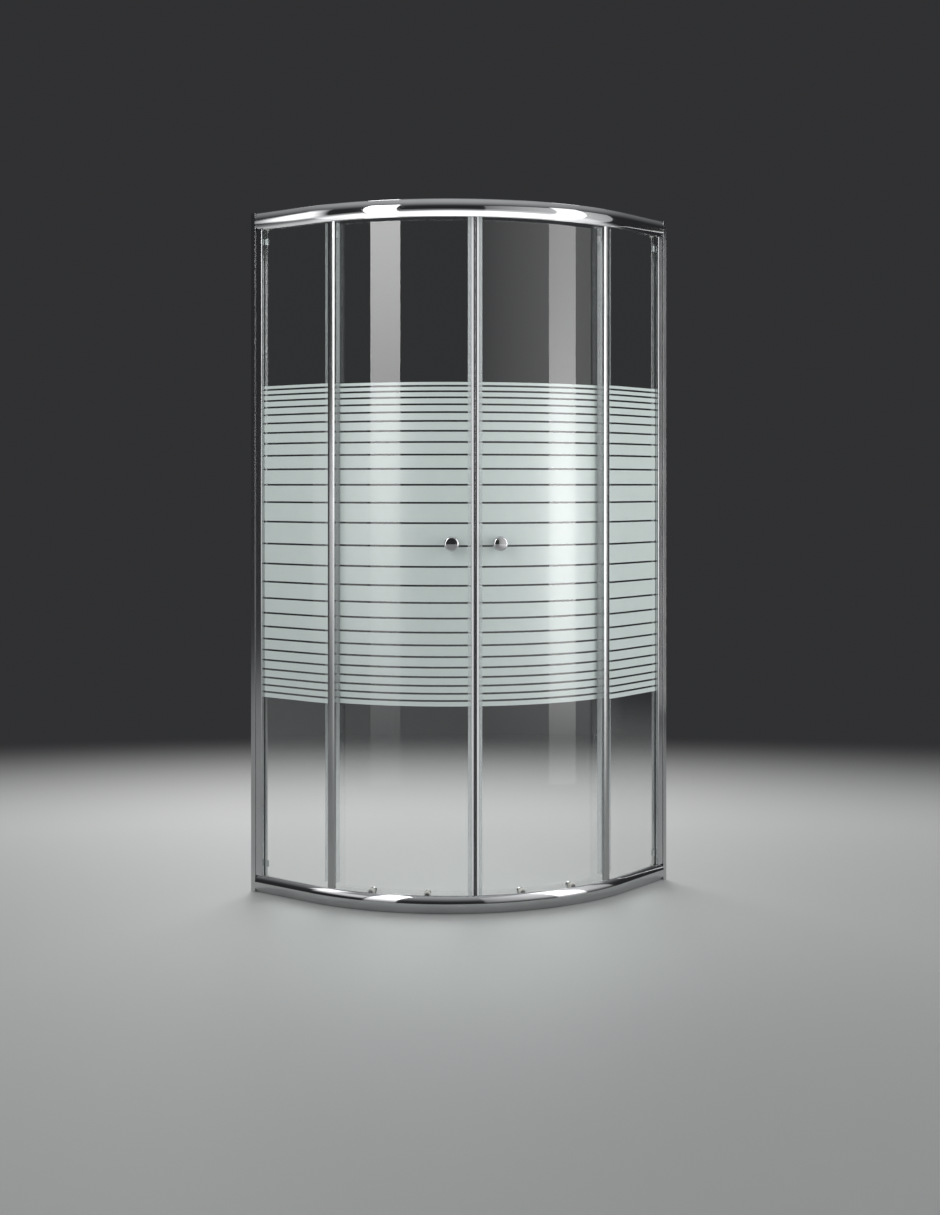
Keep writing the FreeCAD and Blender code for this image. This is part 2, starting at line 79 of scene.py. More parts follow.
# Sizes of the rails' sections
rail_height = 0.045
rail_bulge = 0.009
bulge_steps = 28
rail_wall = 0.002
slot_outer = 0.012
slot_inner = 0.020
fin_inner = 0.022
lip_outer = 0.0292
lip_inner = 0.0308
rail_inner = 0.035
bottom_fin = 0.038
bottom_floor = 0.028
bottom_lip = 0.036
top_floor = 0.035
top_lip = 0.029
floor_wall = 0.002
rail_start = 0.0155
rail_rounding = 0.0009

# The screws and end blocks that join the rails to the side profiles, and how far cutters stand past a face
screw_t = 0.032
screw_u = 0.025
screw_shank = 0.002
screw_head = 0.004
screw_grip = 0.025
screw_gap = 0.0001
recess_arm = 0.0022
recess_width = 0.0008
recess_depth = 0.0011
block_gap = 0.0003
cut_past = 0.0002
seat_past = 0.0006

# Sizes of the glass
glass_thickness = 0.005
glass_chamfer = 0.0005
pane_outer = 0.0135
pane_radius = front_radius - pane_outer - glass_thickness / 2
pane_end = 0.005
pane_start = 0.0275
pane_edge = 37.1
door_outer = 0.0375
door_inner = door_outer + glass_thickness
door_radius = front_radius - (door_outer + door_inner) / 2
door_front = 0.009
door_overlap = 0.026
door_edge = math.degrees(door_front / door_radius)
door_rear = pane_edge + math.degrees(door_overlap / door_radius)
door_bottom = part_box("door_glass_left")[0][2]
door_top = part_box("door_glass_left")[1][2]
profile_reach = 0.038

# Sizes of the meeting seals and of the panes' edge profiles
seal_wall = 0.0012
seal_grip = 0.009
meeting_half = 0.00025
magnet_bulge = 0.002
magnet_rear = 0.00475
core_margin = 0.0004
nose_bend = 0.0016
shoulder_bend = 0.004
neck_bend = 0.003
lip_bend = 0.0007
on_lips, on_core, on_nose = range(3)
edge_wall = 0.0012
edge_bulge = 0.0016
edge_nose = 0.003
edge_grip = 0.017
edge_steps = 24

# The frosted stripes: gaps shrink away from the middle of the band
middle_gap = 0.0581
middle_height = 0.9535
upper_ratio = 0.887
lower_ratio = 0.9075
gaps_each_way = 13
clear_line = 0.0049
film_thickness = 0.00006
film_margin = 0.0008
film_gap = 0.00003

# Knobs: the feet are lists of radius and rise from the washer
knob_height = 0.931
knob_arc = 0.060
knob_theta = math.degrees(knob_arc / door_radius)
knob_washer = 0.0015
knob_radius = 0.019
knob_depth = 0.028
knob_rim = 0.006
knob_dome = 0.0013
dome_steps = 8
bend_steps = 14
knob_foot = [(0.0, 0.0), (0.012, 0.0), (0.012, 0.0012), (0.0116, 0.0018), (0.0109, 0.002)]
neck_middle, neck_reach, neck_points = (0.0095, 0.0028), (0.0014, 0.0018), 12
flare_rise, flare_reach, flare_skip = 0.0125, (0.0085, 0.0062), 2
inner_knob_foot = [(0.0, 0.0), (0.012, 0.0), (0.0126, 0.003), (0.014, 0.0095)]
inner_knob_radius = 0.014
inner_knob_depth = 0.014
inner_knob_rim = 0.0035
inner_knob_gap = 0.00013

# Rollers: each level has its tread radius and axle height, and half a bearing is a list of radius
# and depth from the wheel's side
wheel_thetas = {"front": 12.3, "rear": 27.1}
wheel_levels = (("top", 0.009, height - 0.0197), ("bottom", 0.007, 0.0433))
wheel_width = 0.009
tyre_flange = 0.002
tyre_chamfer = 0.0006
hub_radius = 0.0058
groove_mouth = 0.0019
groove_floor = 0.0023
half_bearing = [(0.00305, 0.0006), (0.0036, 0.0003), (0.0040, 0.0009), (0.0046, 0.0009), (0.0052, 0.0003)]


# Node helpers

def new_group(name, kind, inputs, outputs):
    """An empty node group with named sockets: the tree, what it is given and what it makes."""
    tree = bpy.data.node_groups.new(name, kind)
    for socket, socket_type, value in inputs:
        made = tree.interface.new_socket(socket, in_out="INPUT", socket_type=socket_type)
        if value is not None:
            made.default_value = value
    for socket, socket_type in outputs:
        tree.interface.new_socket(socket, in_out="OUTPUT", socket_type=socket_type)
    return tree, tree.nodes.new("NodeGroupInput").outputs, tree.nodes.new("NodeGroupOutput").inputs


def plug(tree, source, target):
    """Link a socket to a socket, or set a plain value."""
    if isinstance(source, bpy.types.NodeSocket):
        tree.links.new(source, target)
    else:
        target.default_value = source


def plug_all(tree, targets, sources):
    """Link or set several sockets by their names or places."""
    for name, source in sources.items():
        plug(tree, source, targets[name])


def add(tree, kind, sources=None, **settings):
    """A node with its properties set, and its inputs linked or set."""
    node = tree.nodes.new(kind)
    for name, value in settings.items():
        setattr(node, name, value)
    plug_all(tree, node.inputs, sources or {})
    return node


def maths(tree, operation, first, second=None):
    """One sum of one or two sockets or numbers."""
    sources = {0: first} if second is None else {0: first, 1: second}
    return add(tree, "ShaderNodeMath", sources, operation=operation).outputs[0]


def noise(tree, vector, scale, detail):
    """Soft noise between 0 and 1."""
    node = add(tree, "ShaderNodeTexNoise", {"Vector": vector, "Scale": scale, "Detail": detail})
    return node.outputs["Fac"]


def mixed(tree, share, first, second):
    """A mix of the outputs of two shaders."""
    return add(tree, "ShaderNodeMixShader", {0: share, 1: first.outputs[0], 2: second.outputs[0]}).outputs[0]


# Geometry node trees

sweep_inputs = [("Path", "NodeSocketGeometry", None), ("Section", "NodeSocketObject", None),
                ("Crisp Angle", "NodeSocketFloat", crisp_angle), ("Material", "NodeSocketMaterial", None)]
sweep_output = [("Mesh", "NodeSocketGeometry")]


def swept(tree, given):
    """Sweep a section curve along a path curve, with smooth bends and crisp corners."""
    path = add(tree, "GeometryNodeSetCurveNormal", {"Curve": given["Path"]}, mode="Z_UP")
    section = add(tree, "GeometryNodeObjectInfo", {"Object": given["Section"]})
    sweep = add(tree, "GeometryNodeCurveToMesh", {"Curve": path.outputs[0], "Fill Caps": True,
                                                  "Profile Curve": section.outputs["Geometry"]})
    smooth = add(tree, "GeometryNodeSetShadeSmooth", {"Geometry": sweep.outputs[0]}, domain="FACE")
    angle = add(tree, "GeometryNodeInputMeshEdgeAngle").outputs["Unsigned Angle"]
    crisp = maths(tree, "GREATER_THAN", angle, given["Crisp Angle"])
    sharp = add(tree, "GeometryNodeSetShadeSmooth",
                {"Geometry": smooth.outputs[0], "Selection": crisp, "Shade Smooth": False}, domain="EDGE")
    return sharp.outputs[0]


def close_tree(tree, given, made, mesh):
    """End a tree with real meshes in their material."""
    real = add(tree, "GeometryNodeRealizeInstances", {"Geometry": mesh})
    paint = add(tree, "GeometryNodeSetMaterial",
                {"Geometry": real.outputs[0], "Material": given["Material"]})
    plug(tree, paint.outputs[0], made["Mesh"])


def section_sweep_tree():
    """A section swept along a path."""
    tree, given, made = new_group("section_sweep", "GeometryNodeTree", sweep_inputs, sweep_output)
    close_tree(tree, given, made, swept(tree, given))
    return tree


def frosted_stripes_tree():
    """A ribbon repeated up a pane, as a band of stripes that grow towards the middle."""
    tree, given, made = new_group(
        "frosted_stripes", "GeometryNodeTree",
        sweep_inputs + [("Middle Height", "NodeSocketFloat", middle_height),
                        ("Middle Gap", "NodeSocketFloat", middle_gap),
                        ("Upper Ratio", "NodeSocketFloat", upper_ratio),
                        ("Lower Ratio", "NodeSocketFloat", lower_ratio),
                        ("Clear Line", "NodeSocketFloat", clear_line),
                        ("Gaps Each Way", "NodeSocketInt", gaps_each_way)], sweep_output)

    def calc(operation, first, second=None):
        return maths(tree, operation, first, second)

    def line_height(count):
        """Height above the middle of the clear line that ends the given number of gaps."""
        shrunk = calc("SUBTRACT", 1.0, calc("POWER", ratio, count))
        gaps = calc("DIVIDE", calc("MULTIPLY", ratio, shrunk), calc("SUBTRACT", 1.0, ratio))
        return calc("MULTIPLY", given["Middle Gap"], calc("ADD", gaps, 0.5))

    total = calc("ADD", calc("MULTIPLY", given["Gaps Each Way"], 2.0), 1.0)
    step = calc("SUBTRACT", add(tree, "GeometryNodeInputIndex").outputs[0], given["Gaps Each Way"])
    away = calc("ABSOLUTE", step)
    above = calc("GREATER_THAN", step, 0.0)
    below = calc("LESS_THAN", step, 0.0)
    beside = calc("ADD", above, below)
    ratio = calc("ADD", calc("MULTIPLY", above, given["Upper Ratio"]),
                 calc("MULTIPLY", calc("SUBTRACT", 1.0, above), given["Lower Ratio"]))
    far = line_height(away)
    near = calc("SUBTRACT", calc("MULTIPLY", line_height(calc("SUBTRACT", away, 1.0)), beside),
                calc("MULTIPLY", far, calc("SUBTRACT", 1.0, beside)))
    flip = calc("SUBTRACT", 1.0, calc("MULTIPLY", below, 2.0))
    ends = [calc("MULTIPLY", near, flip), calc("MULTIPLY", far, flip)]
    half_line = calc("MULTIPLY", given["Clear Line"], 0.5)
    low = calc("ADD", calc("MINIMUM", *ends), half_line)
    top = calc("SUBTRACT", calc("MAXIMUM", *ends), half_line)

    place = add(tree, "ShaderNodeCombineXYZ", {"Z": calc("ADD", low, given["Middle Height"])})
    stretch = add(tree, "ShaderNodeCombineXYZ", {"X": 1.0, "Y": 1.0, "Z": calc("SUBTRACT", top, low)})
    rungs = add(tree, "GeometryNodeMeshLine", {"Count": total}, mode="OFFSET")
    moved = add(tree, "GeometryNodeSetPosition",
                {"Geometry": rungs.outputs[0], "Position": place.outputs[0]})
    repeat = add(tree, "GeometryNodeInstanceOnPoints",
                 {"Points": moved.outputs[0], "Instance": swept(tree, given), "Scale": stretch.outputs[0]})
    close_tree(tree, given, made, repeat.outputs[0])
    return tree


# Places on the plan

def outward(theta):
    bearing = math.radians(-quarter - theta)
    return Vector((math.cos(bearing), math.sin(bearing), 0.0))


def on_curve(theta, u):
    return curve_centre + outward(theta) * (front_radius - u)


def on_leg(t, u):
    return Vector((t - side / 2, u - side / 2, 0.0))


def across(point):
    """The mirror image of a point about the doors' meeting line."""
    return Vector((-point.y, -point.x, point.z))


def arc_points(u, theta_from, theta_to):
    count = max(2, math.ceil(abs(theta_to - theta_from) / bend_step))
    return [on_curve(theta_from + (theta_to - theta_from) * index / count, u)
            for index in range(count + 1)]


def handed(points, hand):
    """A left-hand path as it is, or its mirror image that still runs from left to right."""
    if hand == "left":
        return points
    return [across(point) for point in reversed(points)]


def rail_path():
    left = [on_leg(rail_start, 0.0), on_leg(leg / 2, 0.0)]
    return left + arc_points(0.0, quarter, -quarter) + handed(left, "right")


def pane_path(t_start, short, hand):
    """Along a fixed pane's outer face, from a distance off the wall to just short of its free edge."""
    edge = pane_edge + math.degrees(short / pane_radius)
    leg_points = [on_leg(t_start, pane_outer), on_leg((t_start + leg) / 2, pane_outer)]
    return handed(leg_points + arc_points(pane_outer, quarter, edge), hand)


def door_path(short, hand):
    """Along a door's outer face, to just short of its edges."""
    margin = math.degrees(short / door_radius)
    return handed(arc_points(door_outer, door_rear - margin, door_edge + margin), hand)


# Making pieces

def rounded(points, radii, steps=4, most=0.45):
    """A closed outline with a bend at each corner that has a radius.

    A bend takes at most the given share of the sides next to it."""
    points = [Vector(point) for point in points]
    result = []
    for index, (here, radius) in enumerate(zip(points, radii)):
        if not radius:
            result.append(here)
            continue
        back = points[index - 1] - here
        on = points[(index + 1) % len(points)] - here
        reach = min(radius / math.tan(back.angle(on) / 2), back.length * most, on.length * most)
        start = here + back.normalized() * reach
        end = here + on.normalized() * reach
        for step in range(steps + 1):
            share = step / steps
            result.append(start.lerp(here, share).lerp(here.lerp(end, share), share))
    return result


def placed(name, data):
    """A new object at the origin of the scene."""
    made = bpy.data.objects.new(name, data)
    bpy.context.collection.objects.link(made)
    return made


def as_mesh(piece, name):
    """What a piece's modifiers make, as a plain mesh."""
    depsgraph = bpy.context.evaluated_depsgraph_get()
    mesh = bpy.data.meshes.new_from_object(piece.evaluated_get(depsgraph), depsgraph=depsgraph)
    mesh.name = name
    return mesh


def shaded(mesh, mesh_data):
    """Write a bmesh to its mesh, with its bends smooth and its corners crisp."""
    for face in mesh_data.faces:
        face.smooth = True
    for edge in mesh_data.edges:
        edge.smooth = edge.is_manifold and edge.calc_face_angle(0.0) < crisp_angle
    mesh_data.to_mesh(mesh)
    mesh_data.free()


def finished(name, mesh_data, materials):
    """Turn a bmesh into a piece."""
    mesh = bpy.data.meshes.new(name)
    shaded(mesh, mesh_data)
    for material in materials:
        mesh.materials.append(material)
    return placed(name, mesh)


def bar(name, outline, z_low, z_top, materials, choose=None):
    """An upright bar from an outline on the plan; a rule may choose the material of each face."""
    mesh_data = bmesh.new()
    low = [mesh_data.verts.new((point[0], point[1], z_low)) for point in outline]
    top = [mesh_data.verts.new((point[0], point[1], z_top)) for point in outline]
    mesh_data.faces.new(list(reversed(low)))
    mesh_data.faces.new(top)
    for index in range(len(outline)):
        after = (index + 1) % len(outline)
        face = mesh_data.faces.new([low[index], low[after], top[after], top[index]])
        if choose:
            face.material_index = choose((outline[index] + outline[after]) / 2)
    bmesh.ops.recalc_face_normals(mesh_data, faces=mesh_data.faces)
    return finished(name, mesh_data, materials)


def curve_object(name, points, closed):
    data = bpy.data.curves.new(name, "CURVE")
    data.dimensions = "3D"
    spline = data.splines.new("POLY")
    spline.points.add(len(points) - 1)
    for target, point in zip(spline.points, points):
        target.co = (point[0], point[1], point[2], 1.0)
    spline.use_cyclic_u = closed
    return placed(name, data)


def grown(name, tree, path, section, material):
    """Run a tree on a path with a section, and keep the result as a plain mesh."""
    path_piece = curve_object(name + "_path", path, False)
    section_piece = curve_object(name + "_section", [(-u, -z, 0.0) for u, z in section], True)
    modifier = path_piece.modifiers.new("grow", "NODES")
    modifier.node_group = tree
    given = {item.name: item.identifier for item in tree.interface.items_tree if item.in_out == "INPUT"}
    modifier[given["Section"]] = section_piece
    modifier[given["Material"]] = material
    mesh = as_mesh(path_piece, name)
    for used in (path_piece, section_piece):
        data = used.data
        bpy.data.objects.remove(used)
        bpy.data.curves.remove(data)
    return placed(name, mesh)


def stacked(mesh_data, foot, outline, steps=32):
    """Turn an outline of radius and height about the upright axis through a point."""
    turns = [math.tau * step / steps for step in range(steps)]
    rings = [[mesh_data.verts.new(foot + Vector((radius * math.cos(turn), radius * math.sin(turn), rise)))
              for turn in turns] for radius, rise in outline]
    for first, second in zip(rings, rings[1:]):
        for step in range(steps):
            after = (step + 1) % steps
            mesh_data.faces.new([first[step], first[after], second[after], second[step]])
    mesh_data.faces.new(rings[0])
    mesh_data.faces.new(rings[-1])
    bmesh.ops.recalc_face_normals(mesh_data, faces=mesh_data.faces)


def block(mesh_data, corner, far_corner):
    """A box between two opposite corners."""
    made = bmesh.ops.create_cube(mesh_data, size=1.0)["verts"]
    middle = (corner + far_corner) / 2
    for point in made:
        point.co = middle + Vector([c * abs(b - a) for c, a, b in zip(point.co, corner, far_corner)])


def cut_away(piece, cutter):
    """Take a bmesh's shape out of a piece."""
    tool = finished(piece.name + "_cutter", cutter, [])
    modifier = piece.modifiers.new("cut", "BOOLEAN")
    modifier.operation = "DIFFERENCE"
    modifier.solver = "EXACT"
    modifier.use_self = True
    modifier.object = tool
    mesh = as_mesh(piece, piece.name)
    piece.modifiers.remove(modifier)
    bpy.data.objects.remove(tool)
    mesh_data = bmesh.new()
    mesh_data.from_mesh(mesh)
    shaded(mesh, mesh_data)
    piece.data = mesh


def turned(name, outlines, theta, z, materials, steps=64):
    """Turn outlines of radius and u about the axis that points out of the curve at an angle.

    An outline starts and ends on the axis, or else it closes on itself as a ring."""
    mesh_data = bmesh.new()
    axis = outward(theta)
    along = up.cross(axis)
    turns = [math.tau * step / steps for step in range(steps)]
    for slot, outline in enumerate(outlines):
        rings = []
        for radius, u in outline:
            middle = curve_centre + up * z + axis * (front_radius - u)
            spokes = [along * math.cos(turn) + up * math.sin(turn)
                      for turn in (turns if radius else turns[:1])]
            rings.append([mesh_data.verts.new(middle + spoke * radius) for spoke in spokes])
        pairs = list(zip(rings, rings[1:]))
        if len(rings[0]) > 1:
            pairs.append((rings[-1], rings[0]))
        for first, second in pairs:
            for step in range(steps):
                after = (step + 1) % steps
                corners = [first[step % len(first)], first[after % len(first)],
                           second[after % len(second)], second[step % len(second)]]
                mesh_data.faces.new(list(dict.fromkeys(corners))).material_index = slot
    bmesh.ops.recalc_face_normals(mesh_data, faces=mesh_data.faces)
    return finished(name, mesh_data, materials)


def settle(piece, body, slot, *nodes):
    """Let a piece ride on its body and stand for its nodes; the slot is not used."""
    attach(piece, body)
    if nodes:
        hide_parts(*nodes)


# Shader node groups

def drawn_lines_group():
    """Fine lines of a drawn and polished bar, with soft handling marks between them."""
    tree, given, made = new_group(
        "drawn_lines", "ShaderNodeTree",
        [("Vector", "NodeSocketVector", None), ("Stretch", "NodeSocketVector", (1.0, 1.0, 1.0)),
         ("Low", "NodeSocketFloat", 0.05), ("High", "NodeSocketFloat", 0.12)],
        [("Roughness", "NodeSocketFloat"), ("Height", "NodeSocketFloat"), ("Marks", "NodeSocketFloat")])
    stretch = add(tree, "ShaderNodeVectorMath", {0: given["Vector"], 1: given["Stretch"]},
                  operation="MULTIPLY")
    lines = noise(tree, stretch.outputs[0], scale=1.0, detail=3.0)
    marks = add(tree, "ShaderNodeMapRange", {"Value": noise(tree, given["Vector"], scale=9.0, detail=5.0),
                                             "From Min": 0.35, "From Max": 0.75}).outputs[0]
    lines_share = 0.6
    both = maths(tree, "ADD", maths(tree, "MULTIPLY", lines, lines_share),
                 maths(tree, "MULTIPLY", marks, 1.0 - lines_share))
    rough = add(tree, "ShaderNodeMapRange", {"Value": both, "To Min": given["Low"], "To Max": given["High"]})
    plug_all(tree, made, {"Roughness": rough.outputs[0], "Height": lines, "Marks": marks})
    return tree


def moulded_group():
    """The slight mottle and fine grain of moulded plastic and rubber."""
    tree, given, made = new_group(
        "moulded_surface", "ShaderNodeTree",
        [("Vector", "NodeSocketVector", None), ("Colour", "NodeSocketColor", (0.8, 0.8, 0.8, 1.0)),
         ("Shade", "NodeSocketColor", (0.6, 0.6, 0.6, 1.0)), ("Grain", "NodeSocketFloat", 900.0),
         ("Low", "NodeSocketFloat", 0.35), ("High", "NodeSocketFloat", 0.55)],
        [("Colour", "NodeSocketColor"), ("Roughness", "NodeSocketFloat"), ("Height", "NodeSocketFloat")])
    mottle = noise(tree, given["Vector"], scale=35.0, detail=4.0)
    grain = noise(tree, given["Vector"], scale=given["Grain"], detail=2.0)
    colour = add(tree, "ShaderNodeMix", {"Factor": mottle, "A": given["Shade"], "B": given["Colour"]},
                 data_type="RGBA")
    rough = add(tree, "ShaderNodeMapRange",
                {"Value": grain, "To Min": given["Low"], "To Max": given["High"]})
    plug_all(tree, made,
             {"Colour": colour.outputs["Result"], "Roughness": rough.outputs[0], "Height": grain})
    return tree


drawn_lines = drawn_lines_group()
moulded_surface = moulded_group()


# Materials

def blank(name):
    """A new material: its tree, its Principled node and its Object coordinates."""
    material = bpy.data.materials.new(name)
    material.use_nodes = True
    tree = material.node_tree
    shader = tree.nodes["Principled BSDF"]
    coordinates = add(tree, "ShaderNodeTexCoord").outputs["Object"]
    return material, tree, shader, coordinates


def bump_from(tree, shader, height_socket, strength, distance):
    bump = add(tree, "ShaderNodeBump", {"Height": height_socket, "Strength": strength, "Distance": distance})
    plug(tree, bump.outputs["Normal"], shader.inputs["Normal"])


def polished_metal(name, light, dark, stretch, low, high):
    """Bright metal with fine lines and faint marks, between a low and a high roughness."""
    material, tree, shader, coordinates = blank(name)
    lines = add(tree, "ShaderNodeGroup",
                {"Vector": coordinates, "Stretch": stretch, "Low": low, "High": high}, node_tree=drawn_lines)
    tint = add(tree, "ShaderNodeMix", {"Factor": lines.outputs["Marks"], "A": light, "B": dark},
               data_type="RGBA")
    plug_all(tree, shader.inputs, {"Base Color": tint.outputs["Result"], "Metallic": 1.0,
                                   "Roughness": lines.outputs["Roughness"]})
    bump_from(tree, shader, lines.outputs["Height"], strength=0.015, distance=0.0002)
    return material


def let_lamps_through(tree, shader, tint):
    """Let light from lamps pass a clear piece, so that what stands behind it is lit."""
    clear = add(tree, "ShaderNodeBsdfTransparent", {"Color": tint})
    shadow = add(tree, "ShaderNodeLightPath").outputs["Is Shadow Ray"]
    plug(tree, mixed(tree, shadow, shader, clear), tree.nodes["Material Output"].inputs["Surface"])


def moulded_look(tree, shader, coordinates, colour, shade, grain, low, high):
    """Colour of a moulded surface and its roughness, from low to high; returns its height."""
    surface = add(tree, "ShaderNodeGroup", {"Vector": coordinates, "Colour": colour, "Shade": shade,
                                            "Grain": grain, "Low": low, "High": high},
                  node_tree=moulded_surface)
    plug_all(tree, shader.inputs, {"Base Color": surface.outputs["Colour"],
                                   "Roughness": surface.outputs["Roughness"]})
    return surface.outputs["Height"]


def moulded(name, colour, shade, grain, low, high, transmission=0.0, bump=0.15):
    """Moulded plastic or rubber, which may let some light through."""
    material, tree, shader, coordinates = blank(name)
    rise = moulded_look(tree, shader, coordinates, colour, shade, grain, low, high)
    plug_all(tree, shader.inputs, {"Transmission Weight": transmission, "IOR": 1.5})
    bump_from(tree, shader, rise, strength=bump, distance=0.0002)
    if transmission:
        let_lamps_through(tree, shader, (0.85, 0.86, 0.87, 1.0))
    return material


def clear_glass():
    """Toughened float glass: clear through, faintly smeared, green where light runs along it.

    The coat adds the shine that a pane's far face gives."""
    material, tree, shader, coordinates = blank("clear_glass")
    smears = add(tree, "ShaderNodeMapRange", {"Value": noise(tree, coordinates, scale=5.0, detail=6.0),
                                              "From Min": 0.45, "From Max": 0.8,
                                              "To Min": 0.0, "To Max": 0.012})
    plug_all(tree, shader.inputs, {"Base Color": (0.985, 0.995, 0.99, 1.0), "Roughness": smears.outputs[0],
                                   "Transmission Weight": 1.0, "IOR": 1.5, "Coat Weight": 1.0,
                                   "Coat Roughness": 0.0})
    let_lamps_through(tree, shader, (0.93, 0.96, 0.95, 1.0))
    absorb = add(tree, "ShaderNodeVolumeAbsorption", {"Color": (0.35, 0.75, 0.62, 1.0), "Density": 5.0})
    plug(tree, absorb.outputs[0], tree.nodes["Material Output"].inputs["Volume"])
    return material


def frosted_film():
    """The pale frosted stripes, a little uneven, with the shine of the pane."""
    material, tree, shader, coordinates = blank("frosted_film")
    rise = moulded_look(tree, shader, coordinates, (0.66, 0.745, 0.72, 1.0), (0.61, 0.69, 0.665, 1.0),
                        grain=2600.0, low=0.27, high=0.36)
    plug_all(tree, shader.inputs, {"IOR": 1.6, "Specular IOR Level": 1.0, "Coat Weight": 0.4,
                                   "Coat Roughness": 0.04})
    bump_from(tree, shader, rise, strength=0.08, distance=0.0001)
    return material


lines_along_rail = (2.0, 2.0, 900.0)
lines_upright = (900.0, 900.0, 2.0)
lines_fine = (500.0, 500.0, 500.0)
lines_soft = (300.0, 300.0, 300.0)
chrome_light = (0.60, 0.605, 0.61, 1.0)
chrome_dark = (0.54, 0.545, 0.555, 1.0)
chrome_across = polished_metal("chrome_rails", chrome_light, chrome_dark, lines_along_rail,
                               low=0.035, high=0.10)
chrome_upright = polished_metal("chrome_profiles", chrome_light, chrome_dark, lines_upright,
                                low=0.12, high=0.20)
chrome_knob = polished_metal("chrome_knobs", (0.72, 0.725, 0.73, 1.0), (0.66, 0.665, 0.675, 1.0),
                             lines_soft, low=0.03, high=0.09)
satin_edge = polished_metal("satin_edges", (0.50, 0.505, 0.51, 1.0), (0.44, 0.445, 0.45, 1.0),
                            lines_upright, low=0.20, high=0.32)
bright_steel = polished_metal("bright_steel", (0.62, 0.63, 0.64, 1.0), (0.50, 0.51, 0.52, 1.0),
                              lines_fine, low=0.18, high=0.32)
glass = clear_glass()
frosted = frosted_film()
seal_plastic = moulded("seal_plastic", (0.90, 0.91, 0.92, 1.0), (0.84, 0.85, 0.86, 1.0),
                       grain=700.0, low=0.10, high=0.22, transmission=0.8, bump=0.05)
seal_core = moulded("seal_core", (0.90, 0.90, 0.92, 1.0), (0.84, 0.84, 0.86, 1.0),
                    grain=700.0, low=0.15, high=0.28, bump=0.05)
seal_nose = moulded("seal_nose", (0.80, 0.80, 0.82, 1.0), (0.72, 0.72, 0.74, 1.0),
                    grain=700.0, low=0.10, high=0.22, transmission=0.97, bump=0.05)
magnet_black = moulded("magnet_black", (0.035, 0.035, 0.037, 1.0), (0.02, 0.02, 0.022, 1.0),
                       grain=1200.0, low=0.45, high=0.6)
grey_rubber = moulded("grey_rubber", (0.12, 0.125, 0.125, 1.0), (0.08, 0.082, 0.083, 1.0),
                      grain=1500.0, low=0.5, high=0.7)
pale_nylon = moulded("pale_nylon", (0.78, 0.77, 0.73, 1.0), (0.70, 0.69, 0.65, 1.0),
                     grain=1100.0, low=0.32, high=0.5)

slot_materials = {"chrome": chrome_upright, "glass": glass, "clear_seal": seal_plastic,
                  "magnet": magnet_black, "rubber": grey_rubber, "nylon": pale_nylon,
                  "steel": bright_steel, "knob_chrome": chrome_knob}


def dress_frame():
    """Give every node of the frame its finish."""
    for part in frame["record"]["subparts"]:
        piece = frame["nodes"][part["node"]]
        for place in piece.material_slots:
            place.material = slot_materials[part["material_slot"]]


# Rails

def bulge_points(z_from, z_to):
    """The rounded outer face of a rail, from one edge to the other."""
    bend = ((rail_height / 2) ** 2 + rail_bulge ** 2) / (2 * rail_bulge)
    middle = (z_from + z_to) / 2
    points = []
    for step in range(1, bulge_steps):
        z = z_from + (z_to - z_from) * step / bulge_steps
        points.append((bend - math.sqrt(bend ** 2 - (z - middle) ** 2), z))
    return points


def rail_section(corners, z_from, z_to):
    return rounded(corners, [rail_rounding] * len(corners)) + bulge_points(z_from, z_to)


def bottom_rail_section():
    floor_top = bottom_floor + floor_wall
    corners = [(rail_bulge, 0), (rail_inner, 0), (rail_inner, rail_wall), (fin_inner, rail_wall),
               (fin_inner, bottom_floor), (lip_inner, bottom_floor), (lip_inner, bottom_lip),
               (lip_outer, bottom_lip), (lip_outer, floor_top), (fin_inner, floor_top),
               (fin_inner, bottom_fin), (slot_inner, bottom_fin), (slot_inner, rail_wall),
               (slot_outer, rail_wall), (slot_outer, rail_height), (rail_bulge, rail_height)]
    return rail_section(corners, rail_height, 0.0)


def top_rail_section():
    web = height - rail_wall
    floor_top = height - top_floor
    floor = floor_top - floor_wall
    lip_top = height - top_lip
    low = height - rail_height
    corners = [(rail_bulge, low), (slot_outer, low), (slot_outer, web), (slot_inner, web),
               (slot_inner, floor), (lip_inner, floor), (lip_inner, lip_top), (lip_outer, lip_top),
               (lip_outer, floor_top), (fin_inner, floor_top), (fin_inner, web), (rail_inner, web),
               (rail_inner, height), (rail_bulge, height)]
    return rail_section(corners, height, low)


def screw_places(z):
    """Where a rail's two screws go in."""
    left = on_leg(screw_t, screw_u) + up * z
    return left, across(left)


def rail_cutter(face, inward):
    """What is milled from a rail's ends: room for the end blocks and seats for the screws."""
    cutter = bmesh.new()
    hole = screw_shank + screw_gap
    seat = [(screw_head + screw_gap + cut_past, -cut_past), (hole, rail_wall), (hole, rail_wall + seat_past)]
    for place in screw_places(face):
        stacked(cutter, place, [(radius, rise * inward) for radius, rise in seat])
    near = on_leg(0.0, fin_inner + cut_past) + up * (face + (rail_wall + cut_past) * inward)
    far = (on_leg(profile_reach + block_gap, rail_inner + floor_wall)
           + up * (face + (rail_height + floor_wall) * inward))
    block(cutter, near, far)
    block(cutter, across(near), across(far))
    bmesh.ops.recalc_face_normals(cutter, faces=cutter.faces)
    return cutter


def make_rails(sweep_tree):
    """The two bent rails, the lower one first."""
    made = []
    rails = (("bottom_rail", bottom_rail_section(), 0.0, 1.0),
             ("top_rail", top_rail_section(), height, -1.0))
    for name, section, face, inward in rails:
        rail = grown("bright_" + name, sweep_tree, rail_path(), section, chrome_across)
        cut_away(rail, rail_cutter(face, inward))
        settle(rail, "frame", "chrome", name)
        made.append(rail)
    return made


